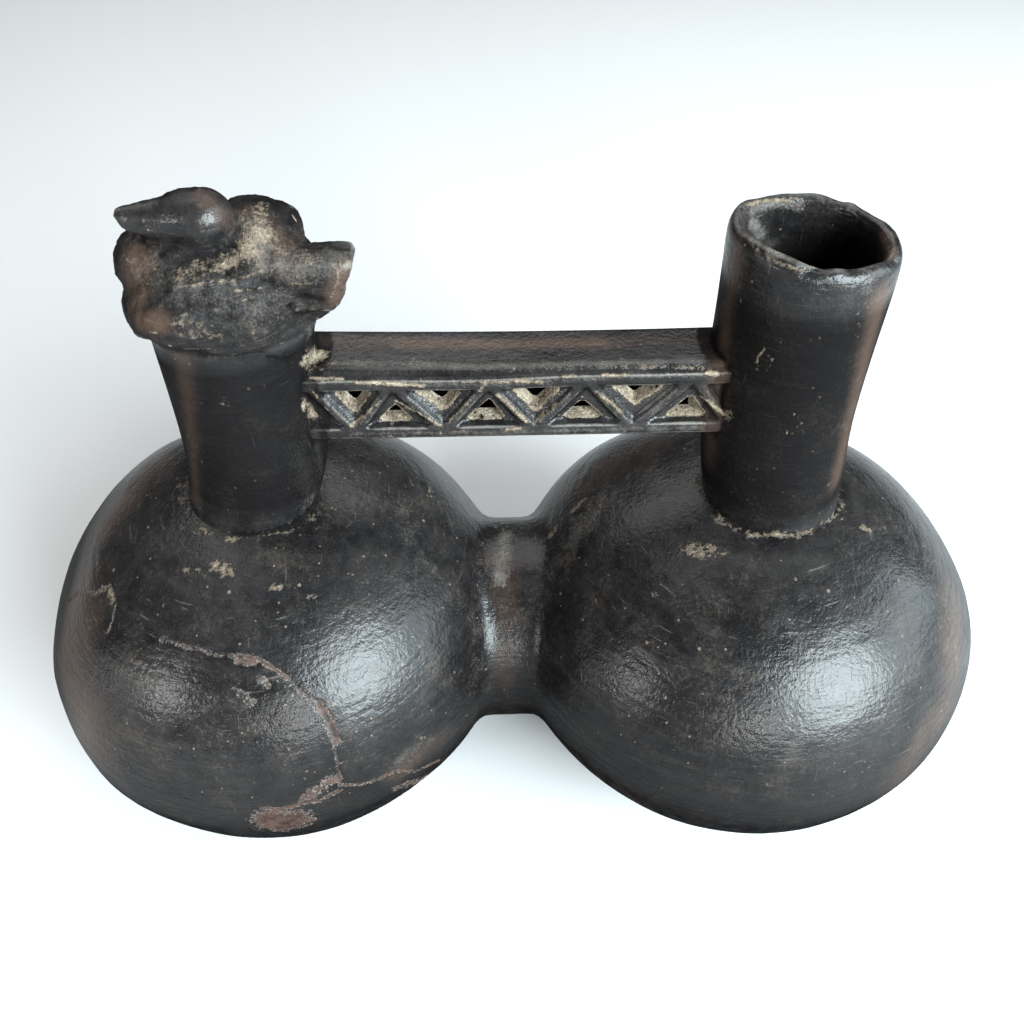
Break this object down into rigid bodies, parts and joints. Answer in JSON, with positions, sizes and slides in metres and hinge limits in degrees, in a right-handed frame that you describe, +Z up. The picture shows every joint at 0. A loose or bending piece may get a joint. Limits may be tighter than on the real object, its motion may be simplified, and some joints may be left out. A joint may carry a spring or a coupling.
{
  "type": "double-chambered bridge-and-spout vessel",
  "caption": "Blackware vessel with joined round chambers, an open spout and a blind neck with a worn finial, linked by an openwork zigzag bridge.",
  "frame": {"origin": "on the standing plane, at the middle of the length and depth", "axes": "+Z up, +X from the finial's chamber towards the spout's chamber, -Y towards the openwork front"},
  "size_m": [0.22, 0.1114, 0.155],
  "materials": {
    "blackware_clay": "burnished dark clay, worn and scratched, with tan deposits"
  },
  "bodies": {
    "root": {"double_vessel": "blackware_clay"}
  },
  "joints": []
}
